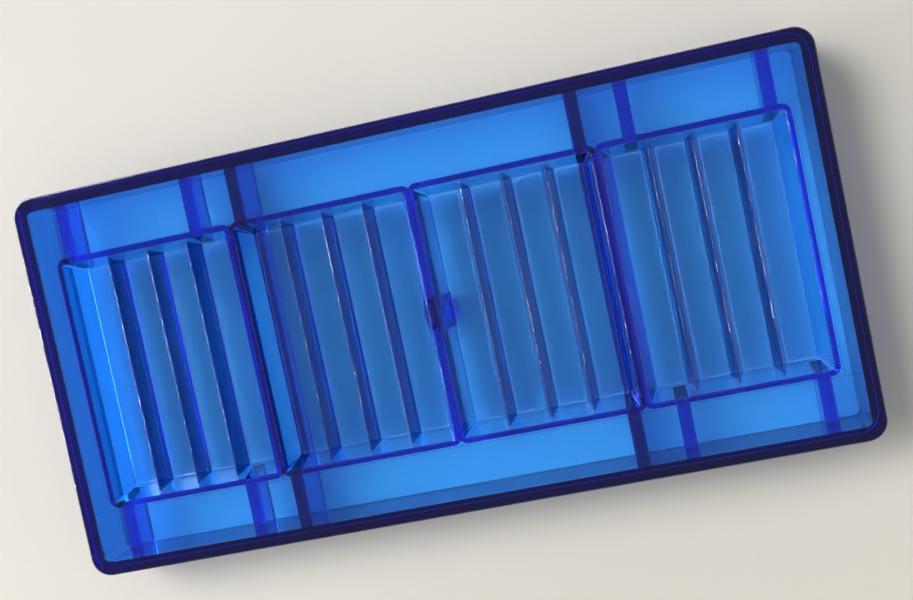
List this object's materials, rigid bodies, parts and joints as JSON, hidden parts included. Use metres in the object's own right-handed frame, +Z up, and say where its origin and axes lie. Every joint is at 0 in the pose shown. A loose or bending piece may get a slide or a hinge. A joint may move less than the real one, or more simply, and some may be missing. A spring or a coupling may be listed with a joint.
{
  "type": "snap bar soap mould",
  "caption": "Rigid clear blue tray mould for soap, wax or melt snap bars: open drafted cavities crossed by sharp snap ridges, set in a flat deck with a deep skirt and ribs underneath.",
  "frame": {"origin": "centre of the outline, on the surface that the skirt stands on", "axes": "+X along the row of cavities, +Y across the mould towards its back, +Z up out of the open cavities"},
  "size_m": [0.275, 0.135, 0.024],
  "materials": {
    "clear_blue_plastic": "polished transparent blue polycarbonate, darker where it is seen through more plastic"
  },
  "bodies": {
    "root": {"skirt_end_left": "clear_blue_plastic", "skirt_end_right": "clear_blue_plastic", "skirt_side_front": "clear_blue_plastic", "skirt_side_back": "clear_blue_plastic", "deck_front": "clear_blue_plastic", "deck_back": "clear_blue_plastic", "deck_left": "clear_blue_plastic", "deck_right": "clear_blue_plastic", "bar_cavity_1": "clear_blue_plastic", "snap_ridge_1_1": "clear_blue_plastic", "snap_ridge_1_2": "clear_blue_plastic", "snap_ridge_1_3": "clear_blue_plastic", "bar_cavity_2": "clear_blue_plastic", "snap_ridge_2_1": "clear_blue_plastic", "snap_ridge_2_2": "clear_blue_plastic", "snap_ridge_2_3": "clear_blue_plastic", "bar_cavity_3": "clear_blue_plastic", "snap_ridge_3_1": "clear_blue_plastic", "snap_ridge_3_2": "clear_blue_plastic", "snap_ridge_3_3": "clear_blue_plastic", "bar_cavity_4": "clear_blue_plastic", "snap_ridge_4_1": "clear_blue_plastic", "snap_ridge_4_2": "clear_blue_plastic", "snap_ridge_4_3": "clear_blue_plastic", "short_rib_left_inner_front": "clear_blue_plastic", "short_rib_left_inner_back": "clear_blue_plastic", "short_rib_left_outer_front": "clear_blue_plastic", "short_rib_left_outer_back": "clear_blue_plastic", "deep_rib_left": "clear_blue_plastic", "short_rib_right_inner_front": "clear_blue_plastic", "short_rib_right_inner_back": "clear_blue_plastic", "short_rib_right_outer_front": "clear_blue_plastic", "short_rib_right_outer_back": "clear_blue_plastic", "deep_rib_right": "clear_blue_plastic", "gate_boss": "clear_blue_plastic"}
  },
  "joints": []
}
